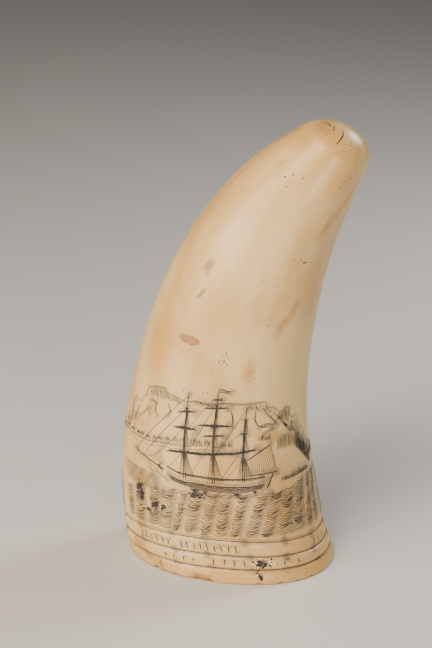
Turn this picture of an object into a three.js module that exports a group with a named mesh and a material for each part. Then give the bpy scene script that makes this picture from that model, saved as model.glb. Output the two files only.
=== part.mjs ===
// A scrimshaw whale tooth: one sperm whale tooth, polished, standing upright on its own sawn-off root.
// Around the foot the ivory is carved into a plinth, a bead and a collar, parted by narrow grooves, and the
// underside opens into the tooth's own pulp cavity.
//
// Millimetres, +Z up. The tooth curves in the XZ plane: its convex outer edge faces -X and its tip leans
// towards +X. Both sides of that plane are alike. The origin is on the ground, under the middle of the
// tooth's bounding box.

import * as THREE from "three";

// ---- Driving dimensions -----------------------------------------------------------------------------

const POINTS_AROUND = 72; // points on each ring of the skin

// The tooth's two edges in the XZ plane, as pairs of points [x, z]. Each pair carries one oval section,
// and depth is that section's thickness along Y as a share of its width in the plane.
const SECTIONS = [
  { outer: [-36.8, 0], inner: [38.6, 0], depth: 0.75 },
  { outer: [-40.2, 16], inner: [35.0, 16], depth: 0.73 },
  { outer: [-40.8, 36], inner: [31.2, 36], depth: 0.72 },
  { outer: [-38.2, 56], inner: [28.4, 55], depth: 0.73 },
  { outer: [-33.2, 78], inner: [28.8, 73], depth: 0.75 },
  { outer: [-26.6, 99], inner: [30.6, 90], depth: 0.77 },
  { outer: [-17.4, 119], inner: [33.8, 107.5], depth: 0.8 },
  { outer: [-5.6, 137], inner: [38.0, 123.5], depth: 0.84 },
  { outer: [8.7, 152.7], inner: [43.9, 139], depth: 0.88 },
  { outer: [24.4, 163.6], inner: [48.6, 151.5], depth: 0.93 },
];
const FOOT_SQUARENESS = 2.25; // exponent of the oval's inner side on the ground; 2 is a plain ellipse
const BODY_RINGS = 26; // steps between the carved foot and the last section

// The rounded tip: how far it stands beyond the last section, how far its top leans to the inner side, and
// the share of its width that it loses early, so that it runs on smoothly from the body.
const TIP = { rise: 8.8, lean: 1.6, taper: 0.14, rings: 6 };

// The carved foot, from the ground up. Each band bulges between its two grooves, and out is how far it
// stands beyond the tooth's plain outline. The shares say where its rings lie between the grooves.
const PLINTH = { height: 5.6, out: 0.9, bulge: 0.7, shares: [0.12, 0.4, 0.65, 0.87] };
const BEAD = { height: 5.0, out: 0.75, bulge: 0.9, shares: [0.1, 0.3, 0.5, 0.7, 0.9] };
const COLLAR = { height: 5.6, out: 0.1, bulge: 0.4, shares: [0.1, 0.3, 0.5, 0.7, 0.9] };
const GROOVE_DEPTH = 0.8;
const END_DROP = 0.14; // share of its height that the carving loses at the tooth's two narrow ends
const FOOT_FADES_AT = 70; // height where the rings lie level again and the oval is a plain ellipse
const SOFT_EDGE = 0.5; // rounding of the plinth's lower edge
const WORN_EDGE = 1.2; // how much further that edge is rubbed away at the outer end

// The pulp cavity, which opens in the underside and narrows upwards along the tooth's axis.
const CAVITY = { width: 44, depth: 27, rise: 40, steps: 7 };

// ---- The tooth's outline ----------------------------------------------------------------------------

const edgeCurve = (edge) =>
  new THREE.SplineCurve(SECTIONS.map((section) => new THREE.Vector2(...section[edge])));
const outerEdge = edgeCurve("outer");
const innerEdge = edgeCurve("inner");
const depthCurve = new THREE.SplineCurve(
  SECTIONS.map((section, index) => new THREE.Vector2(index, section.depth)),
);

// The oval section at t, from 0 on the ground to 1 at the last section.
function sectionAt(t) {
  const outer = outerEdge.getPoint(t);
  const inner = innerEdge.getPoint(t);
  const across = inner.clone().sub(outer);
  const halfWidth = across.length() / 2;
  return {
    centre: outer.clone().add(inner).multiplyScalar(0.5),
    across: across.normalize(),
    halfWidth,
    halfDepth: halfWidth * depthCurve.getPoint(t).y,
  };
}

// t at which the middle of the section reaches a height, found by halving.
function shareAtHeight(height) {
  let low = 0;
  let high = 1;
  for (let halving = 0; halving < 40; halving++) {
    const middle = (low + high) / 2;
    if (sectionAt(middle).centre.y < height) low = middle;
    else high = middle;
  }
  return low;
}

const sectionAtHeight = (height) => sectionAt(shareAtHeight(height));

// The tooth's axis where a section cuts it, as a direction in the XZ plane.
const axisOf = ({ across }) => new THREE.Vector2(-across.y, across.x);

// How much of the foot's own shape is left at a height: all of it on the ground, none where it has faded.
const footShare = (z) => 1 - THREE.MathUtils.smoothstep(z, 0, FOOT_FADES_AT);

// The carver's lines run lower at the tooth's narrow ends than on its broad faces.
const dropAtEnds = (z, angle) => z * (1 - END_DROP * footShare(z) * Math.cos(angle) ** 2);

// One ring of points around a section, moved outwards by outset(angle) and along the axis by lift.
function ring(section, outset = () => 0, lift = 0) {
  const { centre, across, halfWidth, halfDepth } = section;
  const axis = axisOf(section);
  const squareness = 2 + (FOOT_SQUARENESS - 2) * footShare(centre.y);
  return Array.from({ length: POINTS_AROUND }, (_, index) => {
    const angle = (index / POINTS_AROUND) * 2 * Math.PI;
    const power = Math.cos(angle) > 0 ? 2 / squareness : 1;
    const out = outset(angle);
    const along = (halfWidth + out) * Math.sign(Math.cos(angle)) * Math.abs(Math.cos(angle)) ** power;
    const sideways = (halfDepth + out) * Math.sign(Math.sin(angle)) * Math.abs(Math.sin(angle)) ** power;
    const x = centre.x + across.x * along + axis.x * lift;
    const z = centre.y + across.y * along + axis.y * lift;
    return new THREE.Vector3(x, sideways, dropAtEnds(z, angle));
  });
}

// ---- Rings, from the cavity's roof down to its mouth, then up the outside to the tip ------------------

function cavityRings() {
  const rings = [];
  for (let step = CAVITY.steps - 1; step >= 0; step--) {
    const share = step / CAVITY.steps;
    const height = share * CAVITY.rise;
    const narrowing = Math.sqrt(1 - share);
    rings.push(
      ring({
        centre: new THREE.Vector2(sectionAtHeight(height).centre.x, height),
        across: new THREE.Vector2(1, 0),
        halfWidth: (CAVITY.width / 2) * narrowing,
        halfDepth: (CAVITY.depth / 2) * narrowing,
      }),
    );
  }
  return rings;
}

// How far a band stands out at a share of its height: the plinth is round only at its top.
function bandOutset(band, share) {
  const flatness = band === PLINTH ? share ** 4 : (2 * share - 1) ** 4;
  return band.out - band.bulge * flatness;
}

function carvedRings() {
  const worn = (angle) => WORN_EDGE * Math.max(0, -Math.cos(angle)) ** 0.5;
  const rings = [ring(sectionAt(0), (angle) => PLINTH.out - SOFT_EDGE - worn(angle))];
  let ground = 0;
  for (const band of [PLINTH, BEAD, COLLAR]) {
    for (const share of band.shares) {
      rings.push(ring(sectionAtHeight(ground + share * band.height), () => bandOutset(band, share)));
    }
    ground += band.height;
    rings.push(ring(sectionAtHeight(ground), () => band.out / 2 - GROOVE_DEPTH));
  }
  return rings;
}

const GROOVE_LIP = 0.7; // height of the slope between the top groove and the plain body

function bodyRings() {
  const start = shareAtHeight(PLINTH.height + BEAD.height + COLLAR.height + GROOVE_LIP);
  return Array.from({ length: BODY_RINGS + 1 }, (_, step) =>
    ring(sectionAt(start + (1 - start) * (step / BODY_RINGS))),
  );
}

function tipRings() {
  const last = sectionAt(1);
  return Array.from({ length: TIP.rings }, (_, step) => {
    const angle = ((step + 1) / (TIP.rings + 1)) * (Math.PI / 2);
    const narrowing = Math.cos(angle) * (1 - TIP.taper * Math.sin(angle));
    const narrowed = {
      centre: last.centre.clone().addScaledVector(last.across, TIP.lean * Math.sin(angle)),
      across: last.across,
      halfWidth: last.halfWidth * narrowing,
      halfDepth: last.halfDepth * narrowing,
    };
    return ring(narrowed, () => 0, TIP.rise * Math.sin(angle));
  });
}

// ---- The skin ---------------------------------------------------------------------------------------

// A closed skin over the rings, drawn together to a single point at each end.
function skin(firstPoint, rings, lastPoint) {
  const points = [firstPoint, ...rings.flat(), lastPoint];
  const faces = [];
  const at = (level, index) => 1 + level * POINTS_AROUND + (index % POINTS_AROUND);
  const top = rings.length - 1;
  for (let index = 0; index < POINTS_AROUND; index++) {
    faces.push(0, at(0, index + 1), at(0, index));
    for (let level = 0; level < top; level++) {
      faces.push(at(level, index), at(level + 1, index + 1), at(level + 1, index));
      faces.push(at(level, index), at(level, index + 1), at(level + 1, index + 1));
    }
    faces.push(at(top, index), at(top, index + 1), points.length - 1);
  }
  const geometry = new THREE.BufferGeometry().setFromPoints(points);
  geometry.setIndex(faces);
  geometry.computeVertexNormals();
  return geometry;
}

function toothGeometry() {
  const roof = sectionAtHeight(CAVITY.rise).centre;
  const last = sectionAt(1);
  const tip = last.centre
    .clone()
    .addScaledVector(last.across, TIP.lean)
    .addScaledVector(axisOf(last), TIP.rise);
  return skin(
    new THREE.Vector3(roof.x, 0, CAVITY.rise),
    [...cavityRings(), ...carvedRings(), ...bodyRings(), ...tipRings()],
    new THREE.Vector3(tip.x, 0, tip.y),
  );
}

// ---- The part ---------------------------------------------------------------------------------------

const ivory = new THREE.MeshStandardMaterial({ color: "#d8c6a3", roughness: 0.32, metalness: 0 });

const tooth = new THREE.Mesh(toothGeometry(), ivory);
tooth.name = "tooth";

const middle = new THREE.Box3().setFromObject(tooth).getCenter(new THREE.Vector3());
tooth.position.set(-middle.x, -middle.y, 0);

const part = new THREE.Group();
part.add(tooth);

export default part;
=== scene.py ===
"""Scrimshaw whale tooth: polished ivory, an engraving rubbed with lampblack, and a plain stage.

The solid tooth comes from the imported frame. This script dresses it: the ivory is a finer copy of the solid
with a worn and stained surface, and every engraved line is a thin sliver of ink let into that surface.
"""

import math
import random

import bpy
import numpy as np
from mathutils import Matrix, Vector, noise
from mathutils.bvhtree import BVHTree


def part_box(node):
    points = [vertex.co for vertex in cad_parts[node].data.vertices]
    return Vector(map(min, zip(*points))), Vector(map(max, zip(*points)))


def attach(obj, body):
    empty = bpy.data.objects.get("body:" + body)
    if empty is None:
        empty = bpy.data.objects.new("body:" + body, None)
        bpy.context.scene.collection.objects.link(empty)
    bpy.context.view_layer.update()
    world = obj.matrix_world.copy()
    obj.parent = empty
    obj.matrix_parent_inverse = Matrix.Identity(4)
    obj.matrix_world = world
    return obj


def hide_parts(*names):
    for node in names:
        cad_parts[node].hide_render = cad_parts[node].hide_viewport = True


bl_info = {
    "name": "Scrimshaw Whale Tooth",
    "version": (1, 0, 0),
    "blender": (4, 5, 0),
    "location": "3D View > Sidebar > Tooth",
    "description": "Dresses a carved whale tooth in polished ivory and inked engraving",
    "category": "Object",
}

MM = 0.001
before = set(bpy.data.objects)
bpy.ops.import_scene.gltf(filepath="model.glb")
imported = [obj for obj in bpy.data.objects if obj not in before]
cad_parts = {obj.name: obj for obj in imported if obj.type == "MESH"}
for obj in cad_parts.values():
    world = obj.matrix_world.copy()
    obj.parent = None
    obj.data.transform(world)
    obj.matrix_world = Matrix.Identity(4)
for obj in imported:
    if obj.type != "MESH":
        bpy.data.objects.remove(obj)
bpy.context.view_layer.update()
TOOTH_LOW, TOOTH_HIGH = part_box("tooth")
HEIGHT = TOOTH_HIGH.z / MM

# Heights of the carver's three grooves on the broad faces, in millimetres, the share of its height that the
# carving loses at the tooth's two narrow ends, where that fades out, and the foot's depth over its width.
GROOVES = (5.6, 10.6, 16.2)
END_DROP = 0.14
DROP_FADES_AT = 70
FOOT_DEPTH_SHARE = 0.74

# The engraver's front line: the meridian of the tooth that faces this azimuth.
FRONT_AZIMUTH = math.radians(15)


# ---- Settings ---------------------------------------------------------------------------------------


def colour_setting(name, description, default):
    return bpy.props.StringProperty(name=name, description=description, default=default)


class IvorySettings(bpy.types.PropertyGroup):
    """Colours and surface of the polished ivory."""

    cream: colour_setting("Cream", "Clean polished ivory, as sRGB hex", "#dfbd80")
    honey: colour_setting("Honey", "Ivory yellowed by age, as sRGB hex", "#c8964a")
    tan: colour_setting("Tan", "Skin oil and old smoke, as sRGB hex", "#9c703a")
    amber: colour_setting("Amber", "Resin-like stain in the cementum, as sRGB hex", "#b0691a")
    bark: colour_setting("Bark", "Dark rim of a stain, as sRGB hex", "#7c5023")
    umber: colour_setting("Umber", "Dirt in grooves and pits, as sRGB hex", "#3c2814")
    film: colour_setting("Film", "Thin ink rubbed over dense engraving, as sRGB hex", "#5e564a")
    unevenness: bpy.props.FloatProperty(
        name="Unevenness", description="How far the hand-scraped surface wavers", default=0.12,
        min=0, max=1,
    )
    polish: bpy.props.FloatProperty(
        name="Polish roughness", description="Roughness of the polished ivory", default=0.27, min=0, max=1,
    )


class EngravingSettings(bpy.types.PropertyGroup):
    """Ink colours and sizes of the engraved lines."""

    dense: colour_setting("Dense ink", "Lampblack that fills a deep line, as sRGB hex", "#1e1914")
    worn: colour_setting("Worn ink", "Lampblack that is partly rubbed out, as sRGB hex", "#4d4133")
    faint: colour_setting("Faint ink", "A mere scratch with a trace of ink, as sRGB hex", "#86745a")
    line_width: bpy.props.FloatProperty(
        name="Line width", description="Width of an ordinary burin line, in millimetres", default=0.26,
        min=0.05, max=1,
    )
    line_depth: bpy.props.FloatProperty(
        name="Line depth", description="Depth of a burin line, in millimetres", default=0.14,
        min=0.02, max=1,
    )
    proud: bpy.props.FloatProperty(
        name="Ink lip", description="How far dried ink stands out of its line, in millimetres",
        default=0.025, min=0, max=0.2,
    )


class StageSettings(bpy.types.PropertyGroup):
    """Camera, lights and floor."""

    azimuth: bpy.props.FloatProperty(
        name="Azimuth", description="Direction of the camera, from the front towards the tip's side",
        default=FRONT_AZIMUTH, subtype="ANGLE",
    )
    elevation: bpy.props.FloatProperty(
        name="Elevation", description="How far the camera looks down", default=math.radians(20),
        subtype="ANGLE",
    )
    distance: bpy.props.FloatProperty(
        name="Distance", description="From the camera to the point that it looks at", default=0.75,
        unit="LENGTH",
    )
    aim_side: bpy.props.FloatProperty(
        name="Aim sideways", description="How far right of the origin the camera looks", default=-0.009,
        unit="LENGTH",
    )
    aim_height: bpy.props.FloatProperty(
        name="Aim height", description="Height that the camera looks at", default=0.0895, unit="LENGTH",
    )
    lens: bpy.props.FloatProperty(
        name="Lens", description="Focal length", default=116.2, unit="CAMERA",
    )
    floor: colour_setting("Floor", "Plain pale paper, as sRGB hex", "#d9d7d2")


# ---- Shared helpers ---------------------------------------------------------------------------------


def linear(hex_colour, alpha=1.0):
    """A colour such as #c9ab7c as linear red, green, blue and alpha."""
    channels = [int(hex_colour[start:start + 2], 16) / 255 for start in (1, 3, 5)]
    return [c / 12.92 if c <= 0.04045 else ((c + 0.055) / 1.055) ** 2.4 for c in channels] + [alpha]


def add(tree, kind, inputs=None, **settings):
    """Add a node. settings are its own properties; inputs fill its sockets with values or other outputs."""
    made = tree.nodes.new(kind)
    for name, value in settings.items():
        setattr(made, name, value)
    for name, value in (inputs or {}).items():
        if isinstance(value, bpy.types.NodeSocket):
            tree.links.new(value, made.inputs[name])
        else:
            made.inputs[name].default_value = value
    return made


# Sockets of a Mix node that mixes colours, by their place.
FACTOR, UNDER, OVER, MIXED = 0, 6, 7, 2


def new_material(name):
    """An empty node material and its tree, with a Principled surface."""
    material = bpy.data.materials.new(name)
    material.use_nodes = True
    tree = material.node_tree
    tree.nodes.clear()
    surface = add(tree, "ShaderNodeBsdfPrincipled")
    add(tree, "ShaderNodeOutputMaterial", {"Surface": surface.outputs["BSDF"]})
    return material, tree, surface


def link_piece(name, mesh):
    piece = bpy.data.objects.new(name, mesh)
    bpy.context.scene.collection.objects.link(piece)
    return piece


def select_only(piece):
    bpy.ops.object.select_all(action="DESELECT")
    piece.select_set(True)
    bpy.context.view_layer.objects.active = piece


def coordinates(mesh):
    places = np.zeros(len(mesh.vertices) * 3)
    mesh.vertices.foreach_get("co", places)
    return places.reshape(-1, 3)


def smoothstep(value, start, end):
    share = np.clip((value - start) / (end - start), 0, 1)
    return share * share * (3 - 2 * share)


# ---- The tooth's skin, as the engraver measures it --------------------------------------------------


class Skin:
    """Finds places on the tooth's outside in millimetres round from the front line and up from the ground."""

    LEVEL_STEP = 1.0
    TURN_STEP = math.radians(3)
    REACH = 0.2

    def __init__(self, mesh):
        self.tree = BVHTree.FromPolygons(
            [v.co for v in mesh.vertices], [list(p.vertices) for p in mesh.polygons]
        )
        self.levels = np.arange(0.5, HEIGHT - 3, self.LEVEL_STEP)
        self.turns = np.arange(-math.pi, math.pi + self.TURN_STEP / 2, self.TURN_STEP)
        self.middles = np.zeros(len(self.levels))
        self.half_widths = np.zeros(len(self.levels))
        self.half_depths = np.zeros(len(self.levels))
        self.arcs = np.zeros((len(self.levels), len(self.turns)))
        for row, level in enumerate(self.levels):
            self.measure_level(row, level * MM)

    def measure_level(self, row, z):
        left = self.tree.ray_cast(Vector((-self.REACH, 0, z)), Vector((1, 0, 0)))[0]
        right = self.tree.ray_cast(Vector((self.REACH, 0, z)), Vector((-1, 0, 0)))[0]
        self.middles[row] = (left.x + right.x) / 2
        self.half_widths[row] = (right.x - left.x) / 2
        near = self.tree.ray_cast(Vector((self.middles[row], -self.REACH, z)), Vector((0, 1, 0)))[0]
        self.half_depths[row] = -near.y
        ring = [self.cast(turn, z, self.middles[row])[0] for turn in self.turns]
        steps = [0] + [(b - a).length for a, b in zip(ring, ring[1:])]
        arc = np.cumsum(steps) / MM
        self.arcs[row] = arc - np.interp(0, self.turns, arc)

    def cast(self, turn, z, middle):
        """The skin's point and normal at a turn from the front line, at a height."""
        angle = FRONT_AZIMUTH + turn
        out = Vector((math.sin(angle), -math.cos(angle), 0))
        start = Vector((middle, 0, z)) + out * self.REACH
        place, normal, _, _ = self.tree.ray_cast(start, -out)
        return place, normal

    def rows_at(self, up):
        row = (up - self.levels[0]) / self.LEVEL_STEP
        row = min(max(row, 0), len(self.levels) - 1.001)
        return int(row), row - int(row)

    def turn_at(self, around, up):
        low, share = self.rows_at(up)
        below = np.interp(around, self.arcs[low], self.turns)
        above = np.interp(around, self.arcs[low + 1], self.turns)
        return below + (above - below) * share

    def place(self, around, up):
        """The skin's point and normal, for millimetres round from the front line and up from the ground."""
        low, share = self.rows_at(up)
        middle = self.middles[low] + (self.middles[low + 1] - self.middles[low]) * share
        return self.cast(self.turn_at(around, up), up * MM, middle)

    def unroll(self, points):
        """Millimetres round from the front line, and the turn in radians, for an array of points."""
        z = points[:, 2] / MM
        middle = np.interp(z, self.levels, self.middles)
        turn = np.arctan2(points[:, 0] - middle, -points[:, 1]) - FRONT_AZIMUTH
        turn = (turn + math.pi) % (2 * math.pi) - math.pi
        row = np.clip((z - self.levels[0]) / self.LEVEL_STEP, 0, len(self.levels) - 1.001)
        low = row.astype(int)
        column = (turn + math.pi) / self.TURN_STEP
        near = np.clip(column.astype(int), 0, len(self.turns) - 2)
        across = column - near
        up = row - low
        arcs = self.arcs
        below = arcs[low, near] * (1 - across) + arcs[low, near + 1] * across
        above = arcs[low + 1, near] * (1 - across) + arcs[low + 1, near + 1] * across
        return below * (1 - up) + above * up, turn

    def girth(self, up):
        low, _ = self.rows_at(up)
        return self.arcs[low][-1] - self.arcs[low][0]


def carved_height(skin, around, nominal):
    """Height of a carver's line at a place round the tooth, from its height on the broad faces."""
    angle = FRONT_AZIMUTH + skin.turn_at(around, nominal)
    across = (math.sin(angle) * FOOT_DEPTH_SHARE) ** 2
    at_end = across / (across + math.cos(angle) ** 2)
    return nominal * (1 - END_DROP * (1 - smoothstep(nominal, 0, DROP_FADES_AT)) * at_end)


# ---- The ivory --------------------------------------------------------------------------------------

# Chips along the foot's lower edge: millimetres round from the front line, half length, height and depth.
CHIPS = (
    (-30.5, 1.6, 1.9, 0.7), (-26.8, 1.1, 1.2, 0.5), (-21.5, 2.4, 1.0, 0.5), (-13.0, 3.2, 1.7, 0.8),
    (-8.4, 1.4, 2.6, 0.7), (9.6, 1.2, 0.9, 0.6), (17.5, 1.0, 1.1, 0.6), (24.0, 1.3, 0.8, 0.5),
    (30.5, 0.9, 0.9, 0.5), (62.0, 2.2, 1.2, 0.6), (88.0, 1.4, 1.6, 0.6), (-70.0, 2.6, 1.4, 0.7),
    (-101.0, 1.2, 1.0, 0.5),
)

# Stains in the skin: millimetres round and up, half width and half height, turn in degrees, colour name,
# strength, and how soft the edge is as a share of the stain.
STAINS = (
    (-17.2, 117.1, 1.9, 2.7, -12, "tan", 0.85, 0.5),
    (-16.4, 113.9, 1.0, 1.4, 0, "tan", 0.6, 0.9),
    (-16.2, 107.1, 1.0, 2.5, -24, "tan", 0.9, 0.5),
    (-16.2, 106.4, 0.6, 1.6, -24, "bark", 0.4, 0.9),
    (-15.5, 89.8, 4.5, 1.8, -7, "bark", 0.85, 0.3),
    (-15.4, 89.8, 3.7, 1.15, -7, "amber", 0.9, 0.5),
    (19.3, 101.9, 1.7, 4.0, -12, "tan", 0.55, 0.9),
    (17.6, 98.4, 2.2, 3.4, -30, "honey", 0.8, 0.9),
    (15.7, 94.8, 2.2, 4.2, -10, "tan", 0.5, 0.95),
    (18.3, 132.0, 1.5, 5.0, -10, "tan", 0.5, 0.9),
    (21.0, 139.0, 2.4, 9.0, -10, "honey", 0.7, 0.95),
    (-3.0, 165.4, 5.5, 2.0, 0, "amber", 0.5, 0.95),
    (-9.0, 161.5, 7.5, 4.5, 0, "honey", 0.75, 0.95),
    (13.4, 161.0, 2.0, 4.4, 8, "amber", 0.42, 0.9),
    (-12.6, 153.8, 1.8, 0.9, 10, "tan", 0.4, 0.9),
    (-13.0, 143.0, 9.0, 13.0, 0, "honey", 0.5, 0.95),
    (-29.0, 110.0, 4.0, 22.0, 4, "honey", 0.6, 0.95),
    (-29.0, 84.0, 6.0, 14.0, 4, "honey", 0.75, 0.95),
    (8.1, 79.5, 2.8, 5.2, 0, "honey", 0.9, 0.9),
    (8.4, 78.6, 1.3, 3.2, 0, "tan", 0.3, 0.95),
    (21.5, 53.8, 4.0, 2.6, 0, "honey", 1.0, 0.9),
    (-27.4, 60.4, 1.7, 4.2, -4, "tan", 0.6, 0.9),
    (-33.0, 55.6, 7.0, 1.8, -12, "honey", 0.9, 0.9),
    (-37.5, 7.4, 4.2, 2.8, -12, "amber", 0.75, 0.8),
    (-33.0, 4.6, 3.4, 1.3, -20, "umber", 0.55, 0.8),
    (-11.5, 1.7, 3.6, 1.6, -8, "umber", 0.85, 0.7),
    (-27.5, 3.4, 1.4, 1.9, 0, "umber", 0.75, 0.7),
)
OUTSIDE_ONLY = 1000  # third skin coordinate where no stain lies: round the back, inside and underneath


def copy_of_solid(node_name, piece_name):
    """A new piece with the solid's shape, its loose triangles joined into quads."""
    piece = link_piece(piece_name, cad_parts[node_name].data.copy())
    piece.data.materials.clear()
    select_only(piece)
    bpy.ops.object.mode_set(mode="EDIT")
    bpy.ops.mesh.select_all(action="SELECT")
    bpy.ops.mesh.remove_doubles(threshold=0.005 * MM)
    bpy.ops.mesh.tris_convert_to_quads(
        face_threshold=math.radians(60), shape_threshold=math.radians(60),
    )
    bpy.ops.object.mode_set(mode="OBJECT")
    return piece


def crease_sawn_edges(mesh, sharpness):
    """Keeps the edges of the sawn underside through the subdivision that follows."""
    creases = mesh.attributes.new("crease_edge", "FLOAT", "EDGE")
    ground = 0.01 * MM
    for edge in mesh.edges:
        if all(mesh.vertices[end].co.z < ground for end in edge.vertices):
            creases.data[edge.index].value = sharpness


def subdivide(piece, levels):
    finer = piece.modifiers.new("Finer skin", "SUBSURF")
    finer.levels = levels
    finer.render_levels = levels
    select_only(piece)
    bpy.ops.object.modifier_apply(modifier=finer.name)


def groove_depths(skin, points, turns):
    """How deep each point lies below its neighbours above and below it, in millimetres."""
    heights = np.arange(0.4, 21, 0.2)
    bearings = np.arange(-math.pi, math.pi + 0.01, math.radians(5))
    radii = np.zeros((len(heights), len(bearings)))
    for row, height in enumerate(heights):
        middle = np.interp(height, skin.levels, skin.middles)
        for column, bearing in enumerate(bearings):
            place = skin.cast(bearing, height * MM, middle)[0]
            radii[row, column] = math.hypot(place.x - middle, place.y) / MM
    window = np.ones(9) / 9
    padded = np.pad(radii, ((4, 4), (0, 0)), mode="edge")
    smoothed = np.apply_along_axis(lambda line: np.convolve(line, window, mode="valid"), 0, padded)
    depths = smoothed - radii
    z = points[:, 2] / MM
    row = np.clip(np.round((z - heights[0]) / 0.2).astype(int), 0, len(heights) - 1)
    column = np.clip(np.round((turns + math.pi) / math.radians(5)).astype(int), 0, len(bearings) - 1)
    return np.where(z < heights[-1], depths[row, column], 0)


class IvorySurface:
    """Where the finished ivory lies: on the outside, in the pulp cavity or on the sawn underside."""

    def __init__(self, skin, mesh):
        self.points = coordinates(mesh)
        self.heights = self.points[:, 2] / MM
        self.around, self.turns = skin.unroll(self.points)
        self.middle = np.interp(self.heights, skin.levels, skin.middles)
        half_width = np.interp(self.heights, skin.levels, skin.half_widths)
        half_depth = np.interp(self.heights, skin.levels, skin.half_depths)
        self.across = (self.points[:, 0] - self.middle) / half_width
        self.sideways = self.points[:, 1] / half_depth
        reach = np.hypot(self.across, self.sideways)
        below_roof = self.heights < 42
        self.inside = below_roof & (reach < 0.8)
        self.outside = ~self.inside & (self.heights > 0.05)


def wear(mesh, surface, unevenness):
    """Scraped and handled by hand: the skin wavers a little, and the foot's lower edge is chipped."""
    normals = np.zeros(len(mesh.vertices) * 3)
    mesh.vertices.foreach_get("normal", normals)
    normals = normals.reshape(-1, 3)
    points = surface.points
    free = smoothstep(surface.heights, 0.3, 3) * surface.outside
    waver = np.array([
        noise.noise(Vector(p) / (22 * MM)) + 0.35 * noise.noise(Vector(p) / (7 * MM)) for p in points
    ])
    moved = points + normals * (waver * free * unevenness * MM)[:, None]
    chipped = np.zeros(len(points))
    ragged = np.array([1 + 0.5 * noise.noise(Vector(p) / (1.3 * MM)) for p in points])
    for around, half_length, height, depth in CHIPS:
        reach = np.hypot((surface.around - around) / half_length, surface.heights / height) / ragged
        bite = np.clip(1 - reach, 0, 1) ** 0.6 * surface.outside
        moved -= normals * (bite * depth * MM)[:, None]
        chipped = np.maximum(chipped, np.clip(1.25 - reach, 0, 1) * surface.outside)
    moved[:, 2] = np.maximum(moved[:, 2], 0)
    mesh.vertices.foreach_set("co", moved.ravel())
    return chipped


def store(mesh, name, values):
    """Stores one number or one vector for each vertex, for the material to read."""
    values = np.asarray(values, dtype=np.float32)
    kind = "FLOAT" if values.ndim == 1 else "FLOAT_VECTOR"
    attribute = mesh.attributes.new(name, kind, "POINT")
    attribute.data.foreach_set("value" if values.ndim == 1 else "vector", values.ravel())


def mark_surface(mesh, skin, surface, chipped):
    """Writes what the ivory's material reads: the grain, the skin's own map, and where dirt has settled."""
    width = 30.0
    grain = np.column_stack([surface.across * width, surface.sideways * width, surface.heights])
    store(mesh, "grain", grain)
    off_front = (np.abs(surface.turns) > math.radians(140)) | ~surface.outside
    store(mesh, "skin", np.column_stack([
        surface.around, surface.heights, np.where(off_front, OUTSIDE_ONLY, 0),
    ]))
    depths = groove_depths(skin, surface.points, surface.turns)
    store(mesh, "groove", np.clip(depths / 0.28, 0, 1) * surface.outside)
    store(mesh, "chipped", chipped)
    store(mesh, "hollow", surface.inside & (surface.heights > 0.3))


def stain_mask(tree, place, stain):
    """A soft-edged oval in the skin's own map."""
    around, up, half_width, half_height, turn, _, strength, softness = stain
    local = add(tree, "ShaderNodeMapping", {
        "Vector": place,
        "Location": (around, up, 0),
        "Rotation": (0, 0, math.radians(turn)),
        "Scale": (half_width, half_height, 1),
    }, vector_type="TEXTURE")
    reach = add(tree, "ShaderNodeVectorMath", {0: local.outputs["Vector"]}, operation="LENGTH")
    return add(tree, "ShaderNodeMapRange", {
        "Value": reach.outputs["Value"],
        "From Min": 1 + softness / 2,
        "From Max": 1 - softness,
        "To Min": 0,
        "To Max": strength,
    }, interpolation_type="SMOOTHSTEP").outputs["Result"]


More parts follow.
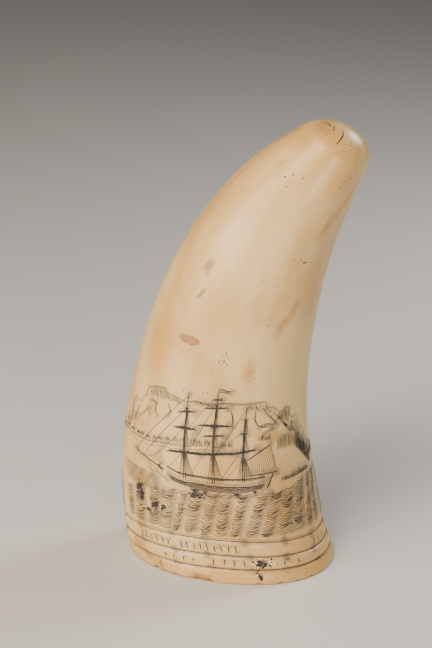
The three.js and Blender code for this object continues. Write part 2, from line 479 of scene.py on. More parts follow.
def polished_ivory(ivory):
    """Sperm whale ivory, scraped and polished by hand: cream dentine under a waxy skin.

    It has faint streaks along the tooth, honey patches of age, a sprinkling of fine brown pits, stains, and
    The pulp cavity is unpolished and darker.
    """
    material, tree, surface = new_material("Polished sperm whale ivory")
    grain = add(tree, "ShaderNodeAttribute", attribute_name="grain").outputs["Vector"]
    skin_map = add(tree, "ShaderNodeAttribute", attribute_name="skin").outputs["Vector"]
    groove = add(tree, "ShaderNodeAttribute", attribute_name="groove").outputs["Fac"]
    chipped = add(tree, "ShaderNodeAttribute", attribute_name="chipped").outputs["Fac"]
    hollow = add(tree, "ShaderNodeAttribute", attribute_name="hollow").outputs["Fac"]

    # Broad honey patches, 45 mm across and longer up the tooth.
    patches = add(tree, "ShaderNodeTexNoise", {
        "Vector": add(tree, "ShaderNodeMapping", {
            "Vector": grain, "Scale": (1 / 26, 1 / 26, 1 / 48),
        }).outputs["Vector"],
        "Scale": 1.0, "Detail": 3.0, "Roughness": 0.55,
    })
    patch_share = add(tree, "ShaderNodeMapRange", {
        "Value": patches.outputs["Fac"], "From Min": 0.38, "From Max": 0.72, "To Max": 0.8,
    }, interpolation_type="SMOOTHSTEP")
    colour = add(tree, "ShaderNodeMix", {
        FACTOR: patch_share.outputs["Result"], UNDER: linear(ivory.cream), OVER: linear(ivory.honey),
    }, data_type="RGBA").outputs[MIXED]

    # Growth streaks, half a millimetre wide and forty times as long.
    streaks = add(tree, "ShaderNodeTexNoise", {
        "Vector": add(tree, "ShaderNodeMapping", {
            "Vector": grain, "Scale": (1 / 1.1, 1 / 1.1, 1 / 40),
        }).outputs["Vector"],
        "Scale": 1.0, "Detail": 4.0, "Roughness": 0.6,
    })
    streak_share = add(tree, "ShaderNodeMapRange", {
        "Value": streaks.outputs["Fac"], "From Min": 0.5, "From Max": 0.85, "To Max": 0.16,
    })
    colour = add(tree, "ShaderNodeMix", {
        FACTOR: streak_share.outputs["Result"], UNDER: colour, OVER: linear(ivory.tan),
    }, data_type="RGBA").outputs[MIXED]

    # Stains, with edges that wander by about half a millimetre.
    wander = add(tree, "ShaderNodeTexNoise", {
        "Vector": grain, "Scale": 1 / 1.4, "Detail": 3.0, "Roughness": 0.6,
    })
    wandering = add(tree, "ShaderNodeVectorMath", {
        0: wander.outputs["Color"], 1: (0.5, 0.5, 0.5),
    }, operation="SUBTRACT")
    place = add(tree, "ShaderNodeVectorMath", {
        0: wandering.outputs["Vector"], 1: (2.2, 2.2, 0), 2: skin_map,
    }, operation="MULTIPLY_ADD").outputs["Vector"]
    for stain in STAINS:
        colour = add(tree, "ShaderNodeMix", {
            FACTOR: stain_mask(tree, place, stain), UNDER: colour, OVER: linear(getattr(ivory, stain[5])),
        }, data_type="RGBA").outputs[MIXED]

    # A grey film of rubbed ink where the engraving is dense, wiped thin in places.
    wiped = add(tree, "ShaderNodeTexNoise", {
        "Vector": grain, "Scale": 1 / 2.4, "Detail": 4.0, "Roughness": 0.65,
    })
    film_share = add(tree, "ShaderNodeMath", {
        0: add(tree, "ShaderNodeAttribute", attribute_name="ink_film").outputs["Fac"],
        1: add(tree, "ShaderNodeMapRange", {
            "Value": wiped.outputs["Fac"], "From Min": 0.3, "From Max": 0.65, "To Min": 0.45, "To Max": 1.0,
        }).outputs["Result"],
    }, operation="MULTIPLY")
    colour = add(tree, "ShaderNodeMix", {
        FACTOR: film_share.outputs["Value"], UNDER: colour, OVER: linear(ivory.film),
    }, data_type="RGBA").outputs[MIXED]

    # The plinth has yellowed all over, in speckles.
    plinth = add(tree, "ShaderNodeMapRange", {
        "Value": add(tree, "ShaderNodeSeparateXYZ", {"Vector": skin_map}).outputs["Y"],
        "From Min": GROOVES[0] + 0.4, "From Max": GROOVES[0] - 0.8, "To Max": 0.75,
    })
    yellowed = add(tree, "ShaderNodeMath", {
        0: plinth.outputs["Result"],
        1: add(tree, "ShaderNodeMapRange", {
            "Value": add(tree, "ShaderNodeTexNoise", {
                "Vector": grain, "Scale": 1 / 1.1, "Detail": 3.0, "Roughness": 0.7,
            }).outputs["Fac"],
            "From Min": 0.35, "From Max": 0.6, "To Min": 0.35, "To Max": 1.0,
        }).outputs["Result"],
    }, operation="MULTIPLY")
    colour = add(tree, "ShaderNodeMix", {
        FACTOR: yellowed.outputs["Value"], UNDER: colour, OVER: linear(ivory.honey),
    }, data_type="RGBA").outputs[MIXED]

    # Pits: a brown speck in about one cell of three, cells 2.6 mm apart.
    cells = add(tree, "ShaderNodeTexVoronoi", {"Vector": grain, "Scale": 1 / 2.6, "Randomness": 1.0})
    picked = add(tree, "ShaderNodeSeparateColor", {"Color": cells.outputs["Color"]})
    speck_size = add(tree, "ShaderNodeMapRange", {
        "Value": picked.outputs["Red"], "From Min": 0.66, "From Max": 1.0, "To Min": 0.0, "To Max": 0.11,
    })
    speck = add(tree, "ShaderNodeMath", {
        0: speck_size.outputs["Result"], 1: cells.outputs["Distance"],
    }, operation="SUBTRACT")
    speck_mask = add(tree, "ShaderNodeMapRange", {
        "Value": speck.outputs["Value"], "From Min": -0.03, "From Max": 0.05, "To Max": 0.55,
    }, interpolation_type="SMOOTHSTEP").outputs["Result"]
    colour = add(tree, "ShaderNodeMix", {
        FACTOR: speck_mask, UNDER: colour, OVER: linear(ivory.umber),
    }, data_type="RGBA").outputs[MIXED]

    # Dirt in the carved grooves and in the chips, broken up by a 1.5 mm noise.
    broken = add(tree, "ShaderNodeTexNoise", {
        "Vector": grain, "Scale": 1 / 1.5, "Detail": 3.0, "Roughness": 0.6,
    })
    dirt = add(tree, "ShaderNodeMath", {0: groove, 1: chipped}, operation="MAXIMUM")
    dirt_share = add(tree, "ShaderNodeMath", {
        0: dirt.outputs["Value"],
        1: add(tree, "ShaderNodeMapRange", {
            "Value": broken.outputs["Fac"], "From Min": 0.3, "From Max": 0.62,
            "To Min": 0.35, "To Max": 1.0,
        }).outputs["Result"],
    }, operation="MULTIPLY")
    colour = add(tree, "ShaderNodeMix", {
        FACTOR: dirt_share.outputs["Value"], UNDER: colour, OVER: linear(ivory.umber),
    }, data_type="RGBA").outputs[MIXED]
    colour = add(tree, "ShaderNodeMix", {
        FACTOR: add(tree, "ShaderNodeMath", {0: hollow, 1: 0.6}, operation="MULTIPLY").outputs["Value"],
        UNDER: colour, OVER: linear(ivory.tan),
    }, data_type="RGBA").outputs[MIXED]
    tree.links.new(colour, surface.inputs["Base Color"])

    # A waxy polish, duller in the dirt and in the cavity.
    dull = add(tree, "ShaderNodeMath", {0: dirt_share.outputs["Value"], 1: hollow}, operation="MAXIMUM")
    roughness = add(tree, "ShaderNodeMapRange", {
        "Value": dull.outputs["Value"], "To Min": ivory.polish, "To Max": 0.75,
    })
    hazed = add(tree, "ShaderNodeMath", {
        0: patches.outputs["Fac"], 1: 0.12, 2: roughness.outputs["Result"],
    }, operation="MULTIPLY_ADD")
    tree.links.new(hazed.outputs["Value"], surface.inputs["Roughness"])
    surface.inputs["IOR"].default_value = 1.54
    surface.inputs["Subsurface Weight"].default_value = 0.08
    surface.inputs["Subsurface Radius"].default_value = (0.9, 0.6, 0.35)
    surface.inputs["Subsurface Scale"].default_value = 0.0015

    # Scraper marks along the tooth and shallow pits.
    relief = add(tree, "ShaderNodeMath", {
        0: streaks.outputs["Fac"], 1: 0.25,
        2: add(tree, "ShaderNodeMath", {0: speck_mask, 1: -1.0}, operation="MULTIPLY").outputs["Value"],
    }, operation="MULTIPLY_ADD")
    bump = add(tree, "ShaderNodeBump", {
        "Height": relief.outputs["Value"], "Strength": 0.35, "Distance": 0.12 * MM,
    })
    tree.links.new(bump.outputs["Normal"], surface.inputs["Normal"])
    return material


class TOOTH_OT_ivory(bpy.types.Operator):
    """Dress the carved tooth in worn, stained and polished ivory"""

    bl_idname = "tooth.ivory"
    bl_label = "Ivory"

    def execute(self, context):
        ivory = context.scene.tooth_ivory
        piece = copy_of_solid("tooth", "ivory_tooth")
        crease_sawn_edges(piece.data, 0.8)
        subdivide(piece, 2)
        skin = Skin(piece.data)
        surface = IvorySurface(skin, piece.data)
        chipped = wear(piece.data, surface, ivory.unevenness)
        mark_surface(piece.data, skin, surface, chipped)
        piece.data.materials.append(polished_ivory(ivory))
        select_only(piece)
        bpy.ops.object.shade_smooth_by_angle(angle=math.radians(40))
        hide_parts("tooth")
        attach(piece, "root")
        return {"FINISHED"}


# ---- Engraved lines ---------------------------------------------------------------------------------


def ink(name, hex_colour):
    """Lampblack and oil, rubbed into the cut lines and dried: matt, and nearly black where a line is deep.

    Each tone is one even colour, because a burin line is narrower than any change of colour in it.
    """
    material, _, surface = new_material(name)
    surface.inputs["Base Color"].default_value = linear(hex_colour)
    surface.inputs["Roughness"].default_value = 0.6
    surface.inputs["IOR"].default_value = 1.5
    return material


DENSE, WORN, FAINT = 0, 1, 2


def ink_tones(engraving):
    """The three tones, dense, worn and faint, shared by every engraved piece."""
    tones = []
    for name, hex_colour in (
        ("Dense lampblack", engraving.dense),
        ("Worn lampblack", engraving.worn),
        ("Faint lampblack", engraving.faint),
    ):
        tones.append(bpy.data.materials.get(name) or ink(name, hex_colour))
    return tones


def engraved_skin():
    """The finished ivory's skin, which the engraver measures once."""
    ivory = bpy.data.objects.get("ivory_tooth")
    if ivory is None:
        raise RuntimeError("the ivory comes before the engraving")
    if "tooth" not in engraved_skin.kept:
        engraved_skin.kept["tooth"] = Skin(ivory.data)
    return engraved_skin.kept["tooth"]


engraved_skin.kept = {}


def along(points, step):
    """Points along a line of straight stretches, at most a step apart, with every corner kept."""
    run = [points[0]]
    for (a, b), (c, d) in zip(points, points[1:]):
        pieces = max(1, math.ceil(math.hypot(c - a, d - b) / step))
        run += [(a + (c - a) * i / pieces, b + (d - b) * i / pieces) for i in range(1, pieces + 1)]
    return run


def flowing(points, per_span=4):
    """A smooth curve through the points."""
    ends = [points[0]] + list(points) + [points[-1]]
    curve = [points[0]]
    for before, start, end, after in zip(ends, ends[1:], ends[2:], ends[3:]):
        for i in range(1, per_span + 1):
            t = i / per_span
            curve.append(tuple(
                0.5 * (2 * b + (c - a) * t + (2 * a - 5 * b + 4 * c - d) * t * t
                       + (3 * b - a - 3 * c + d) * t ** 3)
                for a, b, c, d in zip(before, start, end, after)
            ))
    return curve


class Burin:
    """Cuts lines into the skin. Every line is a closed sliver of ink with a V-shaped underside.

    The slivers are made in mesh code, because no operator lays a section along a curved skin.
    """

    STEP = 1.1  # millimetres between the corners of a line, so that it follows the tooth's curve

    def __init__(self, seed):
        settings = bpy.context.scene.tooth_engraving
        self.skin = engraved_skin()
        self.chance = random.Random(seed)
        self.width = settings.line_width
        self.depth = settings.line_depth
        self.proud = settings.proud
        self.corners = []
        self.faces = []
        self.tones = []
        self.inked = engraved_skin.kept.setdefault("inked", [])

    def section(self, place, normal, side, width, depth, lip):
        half = side * (width / 2 * MM)
        start = len(self.corners)
        self.corners += [
            place - half + normal * (lip * MM),
            place + half + normal * (lip * MM),
            place - normal * (depth * MM),
        ]
        return start

    def cut(self, points, width=1.0, tone=DENSE, taper=0.6, waver=0.05):
        """One line through places on the skin. width is in ordinary line widths, tapered at both ends."""
        points = along(points, self.STEP)
        if len(points) < 2:
            return
        places = []
        for around, up in points:
            around += self.chance.uniform(-waver, waver)
            up += self.chance.uniform(-waver, waver)
            place, normal = self.skin.place(around, up)
            if place is None:
                return
            places.append((place, normal))
        lip = self.proud * self.chance.uniform(0.6, 1.4)
        starts = []
        last = len(places) - 1
        for i, (place, normal) in enumerate(places):
            heading = places[min(i + 1, last)][0] - places[max(i - 1, 0)][0]
            side = heading.cross(normal).normalized()
            share = abs(2 * i / last - 1) ** 2.5
            full = self.width * width * (1 - taper * share) * self.chance.uniform(0.9, 1.1)
            self.inked.append((around, up, full * (0.35 if tone == FAINT else 1.0)))
            starts.append(self.section(place, normal, side, full, min(self.depth, full), lip))
        for a, b in zip(starts, starts[1:]):
            self.faces += [(a, a + 1, b + 1, b), (a + 1, a + 2, b + 2, b + 1), (a + 2, a, b, b + 2)]
            self.tones += [tone] * 3
        a, b = starts[0], starts[-1]
        self.faces += [(a, a + 2, a + 1), (b, b + 1, b + 2)]
        self.tones += [tone] * 2

    def dot(self, around, up, size, tone=DENSE, corners=6):
        """A pricked dot or a pit: an uneven disc of ink with a pointed underside."""
        place, normal = self.skin.place(around, up)
        if place is None:
            return
        side = normal.orthogonal().normalized()
        other = normal.cross(side)
        rim = len(self.corners)
        turn = self.chance.uniform(0, math.tau)
        lift = normal * (self.proud * self.chance.uniform(0.6, 1.4) * MM)
        for corner in range(corners):
            angle = turn + corner * math.tau / corners
            reach = size / 2 * self.chance.uniform(0.7, 1.2) * MM
            self.corners.append(place + lift + (side * math.cos(angle) + other * math.sin(angle)) * reach)
        self.corners.append(place - normal * (min(self.depth, size / 2) * MM))
        self.faces.append(tuple(range(rim, rim + corners)))
        self.faces += [
            (rim + (corner + 1) % corners, rim + corner, rim + corners) for corner in range(corners)
        ]
        self.tones += [tone] * (corners + 1)

    def finish(self, name):
        """Makes the piece from all lines cut so far."""
        mesh = bpy.data.meshes.new(name)
        mesh.from_pydata(self.corners, [], self.faces)
        for material in ink_tones(bpy.context.scene.tooth_engraving):
            mesh.materials.append(material)
        mesh.polygons.foreach_set("material_index", self.tones)
        mesh.validate()
        piece = link_piece(name, mesh)
        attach(piece, "root")
        return piece


def hatch(burin, outline_low, outline_high, spacing, lean, width, tone, gap=0.0, ragged=0.15):
    """Parallel lines that fill the band between two lines of places, each leaning over by some millimetres."""
    start, end = outline_low[0][0], outline_low[-1][0]
    count = max(1, round(abs(end - start) / spacing))
    low_xs, low_ys = zip(*outline_low)
    high_xs, high_ys = zip(*outline_high)
    for i in range(count + 1):
        if burin.chance.random() < gap:
            continue
        x = start + (end - start) * i / count + burin.chance.uniform(-0.3, 0.3) * spacing
        low = float(np.interp(x, low_xs, low_ys))
        high = float(np.interp(x + lean, high_xs, high_ys))
        rise = high - low
        low += rise * burin.chance.uniform(0, ragged)
        high -= rise * burin.chance.uniform(0, ragged)
        burin.cut([(x, low), (x + lean, high)], width, tone)


# ---- The picture ------------------------------------------------------------------------------------
# All places are millimetres round the tooth from the front line and up from the ground.

RIDGE = (
    (-39.5, 58.0), (-38.2, 61.5), (-36.6, 63.2), (-34.6, 62.4), (-32.2, 62.6), (-30.4, 66.2),
    (-29.4, 69.2), (-25.4, 70.2), (-21.6, 70.6), (-20.4, 68.9), (-17.0, 68.4), (-13.6, 67.2),
    (-8.6, 67.9), (-4.0, 67.4), (2.0, 67.9), (9.0, 67.6), (16.2, 67.9), (16.9, 65.3), (19.0, 65.5),
    (21.2, 64.0), (22.6, 62.4), (24.2, 64.3), (26.4, 64.2), (26.9, 60.8), (28.6, 59.6), (30.2, 60.4),
    (31.6, 57.8), (32.6, 54.6), (34.4, 54.8), (36.2, 51.6), (38.4, 48.0), (42.0, 46.2), (47.0, 45.6),
)
SHORE = (
    (-56.0, 47.0), (-47.0, 48.4), (-43.0, 49.6), (-35.0, 49.4), (-27.0, 49.2), (-20.0, 50.2),
    (-12.0, 50.4), (-5.0, 51.6), (2.0, 51.0),
)

HULL_SHEER = (
    (-19.0, 39.0), (-14.0, 37.4), (-8.0, 37.0), (1.0, 36.5), (8.3, 36.5), (13.0, 36.6), (17.4, 37.2),
)
HULL_FOOT = (
    (-17.4, 37.0), (-13.0, 35.9), (-8.0, 35.2), (1.0, 34.5), (8.3, 34.4), (12.5, 34.9), (16.2, 35.8),
)
RAIL_RISE = 2.9
BOWSPRIT = ((-19.8, 40.2), (-26.5, 42.4), (-33.6, 44.6))
STEM = ((-20.6, 39.8), (-22.4, 41.0), (-21.2, 42.2))

# Each mast: where it stands, its foot, lower top, upper top and head, and its yards, each with a height,
# half length, slope and weight.
MASTS = (
    (-11.9, 38.6, 57.6, 64.8, 70.6, (
        (63.2, 3.9, 0.14, 2.2), (57.0, 5.0, 0.0, 2.8), (48.0, 7.2, 0.06, 3.4),
    )),
    (-1.2, 37.6, 58.6, 67.0, 73.4, (
        (68.8, 2.2, 0.05, 1.4), (65.6, 5.0, 0.06, 2.2), (59.0, 6.4, 0.02, 3.0), (55.2, 4.6, 0.08, 2.4),
        (48.4, 8.6, 0.07, 3.8),
    )),
    (9.6, 38.4, 56.2, 61.6, 66.2, ((49.2, 5.6, 0.16, 2.6),)),
)

# The sea's upper edge, and its columns on the front: left and right edge at the top, then at the foot.
SEA_TOP = ((-100.0, 30.0), (-60.0, 33.0), (-40.0, 29.0), (-35.0, 30.6), (-28.0, 33.2), (-20.0, 33.0),
           (-10.0, 32.4), (0.0, 32.8), (20.0, 32.8), (26.0, 34.0), (31.0, 36.0), (40.0, 37.0),
           (60.0, 36.0), (100.0, 30.0))
SEA_COLUMNS = (
    (-40.5, -37.0, -40.5, -37.6), (-35.0, -30.0, -36.0, -31.4), (-26.5, -22.6, -29.3, -24.8),
    (-21.4, -15.9, -24.0, -19.4), (-13.8, -10.8, -18.6, -16.0), (-10.2, -4.8, -14.2, -10.0),
    (-3.4, 0.6, -8.0, -4.2), (1.4, 5.0, -2.4, 1.6), (7.6, 11.4, 2.8, 6.5), (14.4, 18.6, 8.2, 12.8),
    (19.8, 24.4, 14.4, 18.8), (25.0, 29.6, 20.2, 25.6), (30.8, 34.4, 27.0, 31.6), (36.0, 38.6, 34.0, 37.4),
    (40.0, 42.2, 39.4, 41.8),
)
SEA_FOOT = 17.4
WAVE_PITCH = 5.5
WAVE_GAP = 1.5
WAVE_STEP = 0.58


def level(outline, around):
    """Height of an outline at a place round the tooth."""
    return float(np.interp(around, *zip(*outline)))


def yard(burin, mast, height, half, slope, weight):
    """A yard with its sail furled along it."""
    spar = [(mast - half, height - slope * half), (mast, height + 0.12), (mast + half, height + slope * half)]
    burin.cut(flowing(spar), weight, DENSE, taper=0.85)
    rolls = max(3, round(half))
    roll = [
        (mast - 0.8 * half + 1.6 * half * i / (2 * rolls),
         height + slope * (-0.8 * half + 1.6 * half * i / (2 * rolls)) + (0.62 if i % 2 else 0.3))
        for i in range(2 * rolls + 1)
    ]
    burin.cut(flowing(roll, 2), 1.3, burin.chance.choice((DENSE, WORN)), taper=0.4)
    for share in (-0.66, -0.2, 0.3, 0.7):
        x = mast + share * half
        burin.cut([(x, height + slope * share * half + 0.75), (x + 0.1, height - 0.5)], 0.6, WORN)


def shrouds(burin, mast, low, high, spread, side, count=6, rungs=1.15):
    """A fan of shrouds on one side of a mast, with ratlines across it."""
    for i in range(count):
        share = i / (count - 1)
        burin.cut(
            [(mast + side * (0.5 + spread * share), low), (mast + side * (0.2 + 0.35 * share), high)],
            0.75 if i else 1.2, DENSE if i % 2 == 0 else WORN, taper=0.3,
        )
    height = low + rungs
    while height < high - 1.2:
        width = spread * (1 - (height - low) / (high - low)) + 0.4
        burin.cut([(mast + side * 0.4, height), (mast + side * (0.4 + width), height)], 0.42, WORN)
        height += rungs


def engrave_mast(burin, mast, foot, lower_top, upper_top, head, yards):
    for offset in (-0.32, 0.3):
        burin.cut([(mast + offset, foot), (mast + offset * 0.6, lower_top)], 1.3, DENSE, taper=0.1)
    burin.cut([(mast - 0.1, foot + 4), (mast, lower_top)], 0.8, WORN, taper=0.1)
    burin.cut([(mast, lower_top - 1), (mast, upper_top)], 2.0, DENSE, taper=0.2)
    burin.cut([(mast, upper_top - 0.6), (mast + 0.1, head)], 1.3, DENSE, taper=0.5)
    burin.cut([(mast - 1.3, lower_top), (mast + 1.3, lower_top + 0.1)], 2.4, DENSE, taper=0.4)
    burin.cut([(mast - 0.9, upper_top), (mast + 0.9, upper_top)], 1.5, DENSE, taper=0.5)
    for height, half, slope, weight in yards:
        yard(burin, mast, height, half, slope, weight)
    middle = foot + (lower_top - foot) * 0.52
    shrouds(burin, mast, foot, middle, 3.4, 1)
    shrouds(burin, mast, foot, middle, 1.6, -1, count=3)
    shrouds(burin, mast, middle + 1, lower_top, 1.7, 1, count=4, rungs=0.95)
    shrouds(burin, mast, lower_top + 0.6, upper_top, 0.8, 1, count=3)


def engrave_hull(burin):
    """The black side, the rail above it with its ports, and the stem."""
    for layer in range(8):
        share = layer / 7
        line = [
            (a + (c - a) * share, b + (d - b) * share)
            for (a, b), (c, d) in zip(HULL_SHEER, HULL_FOOT)
        ]
        width = 2.0 if layer == 0 else burin.chance.uniform(0.7, 1.1)
        burin.cut(flowing(line), width, DENSE if layer in (0, 2, 4) else WORN, taper=0.3, waver=0.09)
    for rise, width, tone in (
        (0.75, 0.8, WORN), (1.3, 0.6, WORN), (RAIL_RISE, 2.1, DENSE), (RAIL_RISE - 0.5, 1.0, DENSE),
    ):
        burin.cut(flowing([(x, y + rise) for x, y in HULL_SHEER]), width, tone, taper=0.3)
    for x in np.arange(-17.0, 17.0, 0.5):
        top, foot = level(HULL_SHEER, x), level(HULL_FOOT, x)
        burin.cut([(x, top), (x - 0.5, foot - burin.chance.uniform(-0.4, 0.7))], 0.7, WORN, taper=0.5)
    for x in np.arange(-18.5, 18.5, 0.72):
        low = level(HULL_SHEER, x)
        tall = burin.chance.uniform(0.9, 1.7)
        burin.cut([(x, low + 0.2), (x + 0.1, low + tall)], 0.6, burin.chance.choice((WORN, FAINT)))
    burin.cut(flowing(STEM), 2.4, DENSE, taper=0.5)
    burin.cut(flowing([(-22.6, 40.6), (-23.4, 39.4), (-21.2, 37.8), (-18.6, 36.8)]), 1.2, WORN)
    burin.cut([(19.2, 38.0), (20.6, 40.6)], 2.4, DENSE, taper=0.4)
    burin.cut([(18.0, 35.6), (19.6, 38.2)], 2.0, DENSE, taper=0.4)
    for x, width in ((-8.2, 4.4), (-4.4, 2.4), (7.0, 3.0), (13.6, 2.0)):
        foot = level(HULL_FOOT, x)
        for row in range(5):
            shrink = 1 - row * 0.16
            burin.cut(
                [
                    (x - width / 2 * shrink, foot - 0.4 - row * 0.36),
                    (x + width / 2 * shrink, foot - 0.5 - row * 0.36),
                ],
                1.5, DENSE if row < 3 else WORN, taper=0.7, waver=0.12,
            )


def engrave_rigging(burin):
    """Bowsprit, stays, the spanker on the last mast and a jib hanging under its stay."""
    burin.cut(flowing(BOWSPRIT), 2.0, DENSE, taper=0.6)
    burin.cut([(-21.0, 39.4), (-27.6, 41.6), (-33.6, 44.6)], 0.9, WORN)
    burin.cut([(-26.6, 42.2), (-26.0, 38.2)], 1.0, DENSE)
    burin.cut([(-33.6, 44.6), (-26.1, 38.6), (-21.6, 38.6)], 0.6, WORN)
    fore, main, mizzen = MASTS
    stays = (
        (BOWSPRIT[2], (fore[0], fore[4] - 1.2), 0.95, DENSE),
        ((-29.6, 43.4), (fore[0], fore[3]), 0.95, DENSE),
        ((-25.6, 42.2), (fore[0], fore[2]), 0.8, WORN),
        ((fore[0] + 1.4, fore[2]), (main[0], main[4] - 2.4), 0.6, WORN),
        ((fore[0] + 1.0, 47.0), (main[0], main[3]), 0.85, DENSE),
        ((fore[0] + 2.4, 39.6), (main[0], main[2] - 4), 0.8, WORN),
        ((main[0] + 1.0, 48.0), (mizzen[0], mizzen[4] - 1.0), 0.9, DENSE),
        ((main[0] + 2.6, 38.8), (mizzen[0], mizzen[2] - 5.0), 0.85, DENSE),
        ((main[0] + 4.0, 39.0), (mizzen[0] - 0.4, 46.0), 0.6, WORN),
        ((mizzen[0] - 6.0, 52.0), (mizzen[0], 58.0), 0.6, WORN), ((-18.4, 41.4), (fore[0], 48.2), 0.7, WORN),
        ((mizzen[0], mizzen[4]), (19.4, 50.8), 0.5, FAINT),
    )
    for low, high, width, tone in stays:
        burin.cut([low, high], width, tone, taper=0.3, waver=0.06)
    gaff, boom = [(mizzen[0] + 0.6, 45.8), (19.4, 51.4)], [(mizzen[0] + 0.6, 40.6), (22.6, 41.2)]
    burin.cut(gaff, 1.9, DENSE, taper=0.5)
    burin.cut(boom, 1.7, DENSE, taper=0.5)
    burin.cut(flowing([gaff[1], (20.6, 46.6), (21.8, 41.4)]), 0.8, WORN)
    for i in range(17):
        share = i / 16
        top = tuple(a + (b - a) * share for a, b in zip(*gaff))
        foot = (boom[0][0] + 0.4 + (21.6 - boom[0][0]) * share, 41.3)
        burin.cut(
            flowing([top, ((top[0] + foot[0]) / 2 + 0.5, (top[1] + foot[1]) / 2), foot]), 0.7,
            burin.chance.choice((WORN, WORN, FAINT)),
        )
    for i in range(9):
        share = i / 8
        burin.cut(
            [(-29.2 + 9.4 * share, 43.6 + 6.8 * share), (-27.6 + 6.6 * share, 42.4 + 1.4 * share)], 0.6,
            burin.chance.choice((WORN, FAINT)),
        )
    burin.cut(flowing([(-29.4, 43.6), (-24.0, 44.8), (-19.8, 50.6)]), 0.9, WORN)
    flag, staff = MASTS[1][4], MASTS[1][0]
    burin.cut(
        [(staff, flag - 0.1), (staff + 2.6, flag - 0.9), (staff + 5.0, flag - 1.1)], 1.2, DENSE, taper=0.5,
    )
    burin.cut([(staff, flag - 1.5), (staff + 2.6, flag - 1.7), (staff + 4.6, flag - 2.0)], 1.0, WORN)
    for row in range(4):
        burin.cut([(staff + 0.4, flag - 0.4 - row * 0.3), (staff + 4.2, flag - 1.1 - row * 0.22)], 0.7, WORN)


class TOOTH_OT_ship(bpy.types.Operator):
    """Engrave a three-masted ship with its sails furled"""

    bl_idname = "tooth.ship"
    bl_label = "Ship"

    def execute(self, context):
        burin = Burin(seed=11)
        engrave_hull(burin)
        for mast in MASTS:
            engrave_mast(burin, *mast)
        engrave_rigging(burin)
        burin.finish("engraved_ship")
        return {"FINISHED"}


def house(burin, around, ground, width, height):
    """A small gabled house: walls, a dark roof and a door."""
    eaves = ground + height * 0.55
    burin.cut([(around, ground), (around, eaves)], 0.9, WORN, taper=0.2)
    burin.cut([(around + width, ground), (around + width, eaves)], 0.9, WORN, taper=0.2)
    for row in range(3):
        inset = 0.12 * row * width
        y = eaves + row * height * 0.16
        burin.cut([(around - 0.2 + inset, y), (around + width + 0.2 - inset, y)], 1.1, DENSE, taper=0.3)
    burin.cut([(around + width * 0.5, ground), (around + width * 0.5, ground + height * 0.3)], 1.2, DENSE)


def tree(burin, around, ground, height, tone):
    """A bushy tree: upright strokes that lean together."""
    for i in range(7):
        x = around + (i - 3) * 0.34
        tall = height * (1 - abs(i - 3) * 0.14) * burin.chance.uniform(0.8, 1.1)
        burin.cut([(x, ground), (x + burin.chance.uniform(-0.4, 0.4), ground + tall)], 1.1, tone, taper=0.5)


